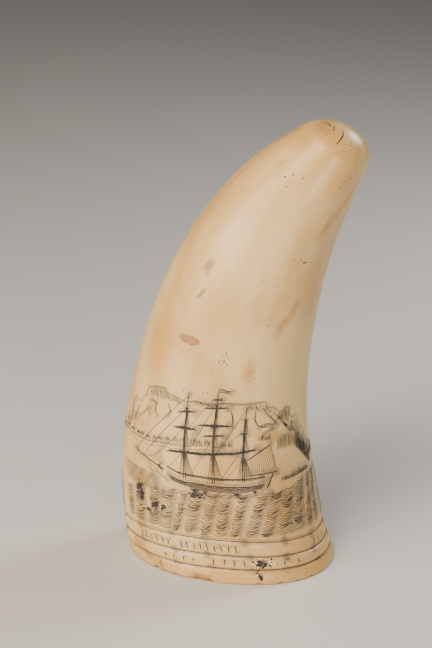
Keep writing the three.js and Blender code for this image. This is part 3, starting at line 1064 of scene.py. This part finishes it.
class TOOTH_OT_land(bpy.types.Operator):
    """Engrave flat-topped hills, a shore with small houses, trees and a stippled beach"""

    bl_idname = "tooth.land"
    bl_label = "Land"

    def execute(self, context):
        burin = Burin(seed=23)
        self.hills(burin)
        self.shore(burin)
        self.beach(burin)
        burin.finish("engraved_land")
        return {"FINISHED"}

    def hills(self, burin):
        burin.cut(RIDGE, 1.0, WORN, taper=0.1, waver=0.1)
        burin.cut([(x + 0.1, y - 0.35) for x, y in RIDGE if -31 < x < 17], 0.7, WORN, waver=0.15)
        slopes = (  # from, to, drop, lean, spacing, tone
            (-29.6, -20.6, 3.6, -1.2, 0.42, WORN), (-20.4, -13.8, 2.4, -1.4, 0.42, WORN),
            (-27.0, -23.0, 5.4, -0.8, 0.6, FAINT), (-8.4, -0.6, 1.7, -1.6, 0.4, WORN),
            (0.4, 11.0, 1.2, -0.8, 0.6, WORN), (10.6, 16.8, 3.0, -1.6, 0.5, WORN),
            (16.8, 23.0, 4.4, 1.8, 0.6, WORN), (22.6, 27.0, 3.4, -0.6, 0.34, WORN),
            (26.9, 33.0, 4.2, 1.2, 0.5, WORN), (-38.6, -36.0, 3.0, -0.8, 0.5, WORN),
        )
        for start, end, drop, lean, spacing, tone in slopes:
            top = [(x, level(RIDGE, x) - 0.1) for x in np.arange(start - 3, end + 3.1, 0.5)]
            foot = [(start, level(RIDGE, start) - drop), (end, level(RIDGE, end) - drop)]
            hatch(burin, foot, top, spacing, lean, 0.8, tone, gap=0.08, ragged=0.4)
        gullies = (
            ((-33.8, 61.6), (-34.6, 58.0), (-37.2, 55.0)), ((-37.4, 61.0), (-38.0, 57.0), (-39.0, 53.6)),
            ((-24.6, 65.4), (-25.2, 62.0), (-23.6, 59.4)), ((-20.0, 65.8), (-18.4, 62.6), (-19.6, 60.6)),
            ((-29.0, 64.2), (-26.6, 65.0), (-25.0, 64.0)), ((4.0, 65.4), (5.0, 61.0), (4.6, 58.6)),
            ((12.8, 66.0), (13.0, 61.2), (15.0, 58.8), (20.0, 58.4)),
            ((16.0, 64.0), (19.0, 61.6), (21.6, 58.6)),
            ((19.6, 63.8), (23.4, 60.0), (26.6, 56.0), (29.6, 54.8)),
            ((20.6, 62.4), (24.0, 58.6), (27.6, 54.8)),
            ((22.0, 61.6), (25.4, 58.0), (29.0, 55.2)), ((13.6, 57.6), (17.0, 59.4), (21.0, 59.0)),
            ((15.6, 53.8), (17.6, 56.6), (20.6, 57.6)), ((-34.0, 57.0), (-31.4, 58.4), (-28.6, 61.8)),
            ((27.6, 59.0), (28.6, 56.0), (30.0, 54.0)), ((-40.6, 56.6), (-41.6, 53.0), (-40.6, 51.4)),
        )
        for gully in gullies:
            for offset in (0, 0.45):
                burin.cut(
                    flowing([(x + offset, y - offset) for x, y in gully]), 1.1,
                    burin.chance.choice((DENSE, WORN)), taper=0.8, waver=0.12,
                )
        for _ in range(46):
            around, up = burin.chance.uniform(-42, -33), burin.chance.uniform(51.5, 57.5)
            burin.cut([(around, up), (around + burin.chance.uniform(-0.5, 0.5), up + 0.7)], 1.0, WORN)

    def shore(self, burin):
        burin.cut(SHORE, 1.0, DENSE, taper=0.2, waver=0.1)
        burin.cut([(x, y - 1.5) for x, y in SHORE], 0.8, WORN, taper=0.2, waver=0.12)
        around = -54.0
        while around < -12.5:
            width = burin.chance.uniform(1.5, 2.6)
            house(burin, around, level(SHORE, around) + 0.1, width, burin.chance.uniform(2.0, 3.2))
            around += width + burin.chance.uniform(0.5, 1.6)
        for x in (-8.6, -6.4, -3.4, 2.2, 4.8, 16.4, 18.6):
            tree(burin, x, level(SHORE, x) + (2.2 if x > 10 else 0.3), burin.chance.uniform(1.8, 3.2), WORN)
        for x in np.arange(31.0, 40.5, 1.15):
            ground = 55.4 - (x - 27) * 0.95
            tree(burin, x, ground - 3.2, 6.4, DENSE if 32 < x < 39 else WORN)
        for x in np.arange(40.5, 62, 2.0):
            tree(burin, x, 42.0, burin.chance.uniform(3.4, 5.0), WORN)
        for x in np.arange(25.0, 38.0, 1.2):
            tree(burin, x, 37.4 + (x - 25) * 0.06, burin.chance.uniform(1.2, 2.4), WORN)
        for x in np.arange(22.4, 29.4, 0.36):
            top = 54.4 - abs(x - 26) * 0.5
            burin.cut([(x, 49.0), (x + 0.2, top)], 0.9, burin.chance.choice((WORN, FAINT)), taper=0.5)

    def beach(self, burin):
        """Stippled sand on both sides of the ship."""
        for left, right, low, high, pitch in ((-50, -22, 34, 46.5, 1.55), (21, 44, 31, 47, 1.5)):
            for up in np.arange(low, high, pitch):
                for around in np.arange(left, right, pitch * 1.2):
                    x = around + burin.chance.uniform(-0.5, 0.5)
                    y = up + burin.chance.uniform(-0.4, 0.4)
                    if burin.chance.random() < 0.2 or y > level(SHORE, x) - 2.2 and x < 0:
                        continue
                    if x < 0 and abs(y - level(((-34, 44.6), (-20, 40)), x)) < 1.6 and x > -34:
                        continue
                    burin.cut([(x, y), (x + 0.55, y + 0.12)], 1.1, burin.chance.choice((WORN, FAINT)))


class TOOTH_OT_sea(bpy.types.Operator):
    """Engrave the sea: leaning columns of short sagging waves, all round the tooth"""

    bl_idname = "tooth.sea"
    bl_label = "Sea"

    def execute(self, context):
        burin = Burin(seed=37)
        for top_left, top_right, foot_left, foot_right in SEA_COLUMNS:
            self.column(burin, (top_left, top_right), (foot_left, foot_right))
        half_girth = burin.skin.girth(25) / 2
        for side in (-1, 1):
            around = 46.0
            while around + WAVE_PITCH < half_girth:
                edges = sorted((side * around, side * (around + WAVE_PITCH - WAVE_GAP)))
                self.column(burin, edges, edges, step=WAVE_STEP * 1.6)
                around += WAVE_PITCH
        self.ripples(burin)
        self.blots(burin)
        burin.finish("engraved_sea")
        return {"FINISHED"}

    def column(self, burin, top_edges, foot_edges, step=WAVE_STEP):
        """One column of sagging waves between its edges at the top and at the foot."""
        top = level(SEA_TOP, sum(top_edges) / 2)
        up = SEA_FOOT + burin.chance.uniform(0.1, 0.6)
        beat = burin.chance.uniform(0, math.tau)
        while up < top - 0.2:
            share = (up - SEA_FOOT) / (top - SEA_FOOT)
            left, right = (
                foot + (head - foot) * share + burin.chance.uniform(-0.35, 0.35)
                for foot, head in zip(foot_edges, top_edges)
            )
            sag = burin.chance.uniform(0.35, 0.95)
            pressed = 0.5 + 0.5 * math.sin(beat + up * 0.9)
            tone = DENSE if burin.chance.random() < 0.35 + 0.5 * pressed else WORN
            burin.cut(
                flowing([
                    (left, up + sag), (left + (right - left) * 0.4, up),
                    (right, up + sag * burin.chance.uniform(0.9, 1.6)),
                ], 3),
                burin.chance.uniform(0.75, 1.0) + 0.6 * pressed, tone, taper=0.7,
            )
            up += step * burin.chance.uniform(0.8, 1.25)

    def ripples(self, burin):
        """Long wavy lines: in front of the bow, under the hull and over the right end's columns."""
        for row in range(11):
            start, fall = -43.0 + row * 0.3, 38.6 - row * 0.62
            line = [(start + i * 1.3, fall - i * 0.08 + 0.34 * math.sin(i * 1.9 + row)) for i in range(15)]
            line = [(x, y) for x, y in line if x < -22.5 + row * 0.1]
            burin.cut(flowing(line, 2), 0.95, burin.chance.choice((DENSE, WORN)), taper=0.5)
        for row in range(3):
            line = [(-20 + i * 1.4, 33.6 - row * 0.5 + 0.3 * math.sin(i * 2.3 + row * 2)) for i in range(29)]
            burin.cut(flowing(line, 2), 0.8, WORN, taper=0.3)
        for _ in range(90):
            around, up = burin.chance.uniform(24, 44), burin.chance.uniform(18, 34)
            burin.cut([(around, up), (around + burin.chance.uniform(0.9, 2.4), up + 0.15)], 0.75, WORN)
        for around in np.arange(30.6, 62, 1.15):
            top = level(SEA_TOP, around)
            burin.cut([(around, 18.4), (around + 0.9, top)], 0.6, burin.chance.choice((WORN, FAINT)), taper=0.3)

    def blots(self, burin):
        """Dark patches where the cuts run together and have filled with ink."""
        for around, up, wide, tall, count in (
            (-32.0, 29.6, 2.0, 4.4, 90), (-25.2, 25.4, 2.2, 2.2, 46), (-28.4, 23.0, 2.6, 1.0, 18),
            (-21.2, 25.6, 0.9, 0.9, 10), (-7.6, 32.4, 3.4, 1.0, 50),
        ):
            for _ in range(count):
                x = burin.chance.gauss(around, wide / 2)
                y = burin.chance.gauss(up, tall / 2)
                burin.dot(x, y, burin.chance.uniform(0.5, 1.1), DENSE)


class TOOTH_OT_bands(bpy.types.Operator):
    """Scratch rows of short strokes, which are not letters, on the collar and bead, and blot the foot"""

    bl_idname = "tooth.bands"
    bl_label = "Foot bands"

    def execute(self, context):
        burin = Burin(seed=53)
        for low, high, start, end, words in (
            (11.9, 14.9, -34.0, 7.0, (6, 9)), (11.9, 14.8, 36.0, 46.0, (3,)),
            (6.9, 9.6, -24.0, 10.5, (4, 4)), (7.0, 9.8, 18.4, 29.5, (4,)),
        ):
            self.row(burin, low, high, start, end, words)
        for around, up, wide, tall, count in (
            (12.9, 8.1, 1.9, 1.3, 80), (15.8, 7.0, 0.4, 0.4, 4), (11.0, 3.4, 0.8, 1.6, 26),
        ):
            for _ in range(count):
                burin.dot(
                    burin.chance.gauss(around, wide / 1.6), burin.chance.gauss(up, tall / 1.8),
                    burin.chance.uniform(0.45, 0.95), DENSE,
                )
        self.lower_edge(burin)
        burin.finish("engraved_bands")
        return {"FINISHED"}

    def row(self, burin, low, high, start, end, words):
        """Groups of leaning ticks and short bars between two heights, along part of a band."""
        strokes = sum(words) + len(words) - 1
        pitch = (end - start) / strokes
        around = start
        for count in words:
            for _ in range(count):
                foot = carved_height(burin.skin, around, low)
                head = carved_height(burin.skin, around, high)
                tall = foot + (head - foot) * burin.chance.uniform(0.7, 1.0)
                lean = burin.chance.uniform(-0.5, 0.6)
                tone = burin.chance.choice((DENSE, WORN))
                burin.cut([(around, foot), (around + lean, tall)], 1.7, DENSE, taper=0.35)
                bar = foot + (head - foot) * burin.chance.choice((0.15, 0.5, 0.8))
                if burin.chance.random() < 0.7:
                    burin.cut([(around + 0.5, bar), (around + 1.4, bar + 0.2)], 1.4, tone, taper=0.4)
                around += pitch
            around += pitch

    def lower_edge(self, burin):
        """Dark lines along the bottoms of the three grooves, and a scratch above the upper one."""
        half_girth = burin.skin.girth(10) / 2 - 0.5
        for nominal, width in (
            (GROOVES[0], 1.5), (GROOVES[1], 1.5), (GROOVES[2], 1.8), (GROOVES[2] + 0.9, 0.6),
        ):
            for start in np.arange(-half_girth, half_girth, 14.0):
                end = min(start + burin.chance.uniform(13.5, 15.5), half_girth)
                line = [(x, carved_height(burin.skin, x, nominal)) for x in np.linspace(start, end, 13)]
                burin.cut(line, width * burin.chance.uniform(0.7, 1.1), WORN, taper=0.3, waver=0.07)


# Pits and cracks: millimetres round and up, spread each way, how many, and their size.
PIT_FIELDS = (
    (-0.8, 83.4, 2.6, 3.2, 26, 0.42), (-6.0, 81.0, 5.5, 4.5, 30, 0.3), (-15.0, 84.5, 3.6, 3.4, 12, 0.36),
    (3.6, 165.3, 3.2, 1.4, 22, 0.42), (-4.0, 164.0, 5.0, 2.6, 16, 0.34), (-9.0, 156.5, 4.5, 2.6, 10, 0.34),
    (-4.2, 149.0, 4.0, 2.0, 9, 0.5), (8.0, 160.0, 4.5, 3.0, 14, 0.36), (16.0, 148.0, 4.0, 6.0, 12, 0.34),
    (12.0, 98.5, 5.0, 4.4, 22, 0.32), (5.0, 112.0, 9.0, 8.0, 26, 0.3), (14.5, 119.0, 3.0, 2.0, 8, 0.44),
    (-9.0, 110.0, 6.0, 6.0, 22, 0.3), (-10.0, 71.0, 5.0, 1.4, 10, 0.44), (10.0, 76.0, 8.0, 5.0, 18, 0.3),
    (0.0, 130.0, 14.0, 12.0, 40, 0.26), (-24.0, 100.0, 10.0, 24.0, 36, 0.28), (22.0, 80.0, 8.0, 10.0, 16, 0.28),
    (60.0, 95.0, 16.0, 34.0, 50, 0.32), (-66.0, 95.0, 16.0, 34.0, 50, 0.32), (15.0, 4.0, 16.0, 2.0, 12, 0.34),
    (-18.0, 13.0, 10.0, 1.2, 12, 0.3), (-20.0, 4.0, 10.0, 1.6, 16, 0.4),
)
CRACKS = (
    (((6.6, 164.5), (5.2, 162.9), (3.4, 160.9)), 1.7),
    (((15.8, 119.3), (16.4, 119.1), (17.4, 119.2)), 1.9),
    (((0.6, 166.1), (2.0, 165.9), (3.0, 165.6)), 2.0),
    (((16.6, 160.2), (17.8, 159.4), (18.8, 158.6)), 1.0),
)


class TOOTH_OT_pits(bpy.types.Operator):
    """Open pores, flecks and the short drying cracks of old ivory"""

    bl_idname = "tooth.pits"
    bl_label = "Pits and cracks"

    def execute(self, context):
        burin = Burin(seed=71)
        for around, up, wide, tall, count, size in PIT_FIELDS:
            for _ in range(count):
                burin.dot(
                    burin.chance.gauss(around, wide / 2),
                    min(burin.chance.gauss(up, tall / 2), HEIGHT - 0.3),
                    size * burin.chance.uniform(0.5, 1.5), burin.chance.choice((DENSE, WORN, FAINT)),
                )
        for line, width in CRACKS:
            burin.cut(flowing(line), width, DENSE, taper=0.7)
        burin.finish("pits_and_cracks")
        return {"FINISHED"}


class TOOTH_OT_film(bpy.types.Operator):
    """Rub ink over the engraving, which leaves a grey film where the lines are dense"""

    bl_idname = "tooth.film"
    bl_label = "Ink film"

    CELL = 0.4  # millimetres
    BLUR = 2  # cells
    REACH = 130  # millimetres mapped to each side of the front line
    GAIN, MOST = 1.5, 0.75  # how fast the film darkens with the lines, and where it stops

    def execute(self, context):
        ivory = bpy.data.objects["ivory_tooth"]
        skin = engraved_skin()
        inked = np.array(engraved_skin.kept["inked"])
        size = int(2 * self.REACH / self.CELL)
        film = np.zeros((int(HEIGHT / self.CELL) + 2, size))
        columns = np.clip((inked[:, 0] + self.REACH) / self.CELL, 0, size - 1).astype(int)
        rows = np.clip(inked[:, 1] / self.CELL, 0, len(film) - 1).astype(int)
        np.add.at(film, (rows, columns), inked[:, 2] * Burin.STEP * 0.5 / self.CELL ** 2)
        kernel = np.exp(-0.5 * (np.arange(-6, 7) / self.BLUR) ** 2)
        kernel /= kernel.sum()
        for axis in (0, 1):
            film = np.apply_along_axis(lambda line: np.convolve(line, kernel, mode="same"), axis, film)
        points = coordinates(ivory.data)
        around, _ = skin.unroll(points)
        column = np.clip((around + self.REACH) / self.CELL, 0, size - 1).astype(int)
        row = np.clip(points[:, 2] / MM / self.CELL, 0, len(film) - 1).astype(int)
        outside = IvorySurface(skin, ivory.data).outside
        store(ivory.data, "ink_film", np.clip(film[row, column] * self.GAIN, 0, self.MOST) * outside)
        return {"FINISHED"}


# ---- Stage ------------------------------------------------------------------------------------------


def soft_light(name, place, aim, size, power, colour="#ffffff"):
    """A rectangular softbox that points at a place."""
    bpy.ops.object.light_add(type="AREA", location=place)
    lamp = bpy.context.object
    lamp.name = name
    lamp.data.shape = "RECTANGLE"
    lamp.data.size, lamp.data.size_y = size
    lamp.data.energy = power
    lamp.data.color = linear(colour)[:3]
    lamp.rotation_euler = (Vector(aim) - Vector(place)).to_track_quat("-Z", "Y").to_euler()
    return lamp


def studio_place(azimuth, distance, height):
    """A place round the tooth, by degrees from its front towards its tip's side."""
    angle = math.radians(azimuth)
    return (math.sin(angle) * distance, -math.cos(angle) * distance, height)


class TOOTH_OT_stage(bpy.types.Operator):
    """Set up the floor, the soft studio lights and the camera"""

    bl_idname = "tooth.stage"
    bl_label = "Stage"

    def execute(self, context):
        stage = context.scene.tooth_stage
        self.floor(stage)
        self.lights()
        self.camera(context, stage)
        return {"FINISHED"}

    def floor(self, stage):
        bpy.ops.object.select_all(action="DESELECT")
        bpy.ops.mesh.primitive_plane_add(size=12, location=(0, 0, -0.02 * MM))
        floor = bpy.context.object
        floor.name = "floor"
        material, _, surface = new_material("Pale studio paper")
        surface.inputs["Base Color"].default_value = linear(stage.floor)
        surface.inputs["Roughness"].default_value = 0.9
        floor.data.materials.append(material)

    def lights(self):
        world = bpy.data.worlds.new("Studio air")
        world.use_nodes = True
        world.node_tree.nodes["Background"].inputs["Color"].default_value = (0.92, 0.96, 1.0, 1)
        world.node_tree.nodes["Background"].inputs["Strength"].default_value = 0.1
        bpy.context.scene.world = world
        middle, tip = (0, 0, 0.09), (0.02, 0, 0.14)
        soft_light("Left softbox", studio_place(-38, 0.8, 0.26), middle, (0.5, 0.55), 8.5, "#fff0dc")
        soft_light("Top softbox", studio_place(-12, 0.5, 0.62), middle, (0.3, 0.3), 4.5, "#fff2e2")
        soft_light("Back softbox", studio_place(138, 0.5, 0.45), middle, (0.2, 0.2), 2.2, "#ffffff")
        soft_light("Low strip", studio_place(27, 0.6, 0.1), tip, (0.07, 0.2), 1.1, "#ffffff")

    def camera(self, context, stage):
        side = Vector((math.cos(stage.azimuth), math.sin(stage.azimuth), 0))
        back = Vector((
            math.sin(stage.azimuth) * math.cos(stage.elevation),
            -math.cos(stage.azimuth) * math.cos(stage.elevation),
            math.sin(stage.elevation),
        ))
        target = side * stage.aim_side + Vector((0, 0, stage.aim_height))
        bpy.ops.object.camera_add(location=target + back * stage.distance)
        camera = bpy.context.object
        camera.rotation_euler = back.to_track_quat("Z", "Y").to_euler()
        camera.data.lens = stage.lens
        camera.data.clip_start = 0.01
        context.scene.camera = camera


class TOOTH_PT_panel(bpy.types.Panel):
    """Lists the tooth's pieces and settings"""

    bl_idname = "TOOTH_PT_panel"
    bl_label = "Scrimshaw Tooth"
    bl_space_type = "VIEW_3D"
    bl_region_type = "UI"
    bl_category = "Tooth"

    def draw(self, context):
        for operator in MAKERS:
            self.layout.operator(operator.bl_idname)
        for settings in (context.scene.tooth_ivory, context.scene.tooth_engraving, context.scene.tooth_stage):
            box = self.layout.box()
            for name in settings.__annotations__:
                box.prop(settings, name)


SETTINGS = (
    ("tooth_ivory", IvorySettings), ("tooth_engraving", EngravingSettings), ("tooth_stage", StageSettings),
)
MAKERS = (
    TOOTH_OT_stage, TOOTH_OT_ivory, TOOTH_OT_ship, TOOTH_OT_land, TOOTH_OT_sea, TOOTH_OT_bands,
    TOOTH_OT_film, TOOTH_OT_pits,
)


def register():
    for name, settings in SETTINGS:
        bpy.utils.register_class(settings)
        setattr(bpy.types.Scene, name, bpy.props.PointerProperty(type=settings))
    for maker in MAKERS:
        bpy.utils.register_class(maker)
    bpy.utils.register_class(TOOTH_PT_panel)


def unregister():
    bpy.utils.unregister_class(TOOTH_PT_panel)
    for maker in reversed(MAKERS):
        bpy.utils.unregister_class(maker)
    for name, settings in reversed(SETTINGS):
        delattr(bpy.types.Scene, name)
        bpy.utils.unregister_class(settings)


def main():
    register()
    bpy.ops.tooth.stage()
    bpy.ops.tooth.ivory()
    bpy.ops.tooth.ship()
    bpy.ops.tooth.land()
    bpy.ops.tooth.sea()
    bpy.ops.tooth.bands()
    bpy.ops.tooth.film()
    bpy.ops.tooth.pits()
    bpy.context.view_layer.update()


if __name__ == "__main__":
    main()
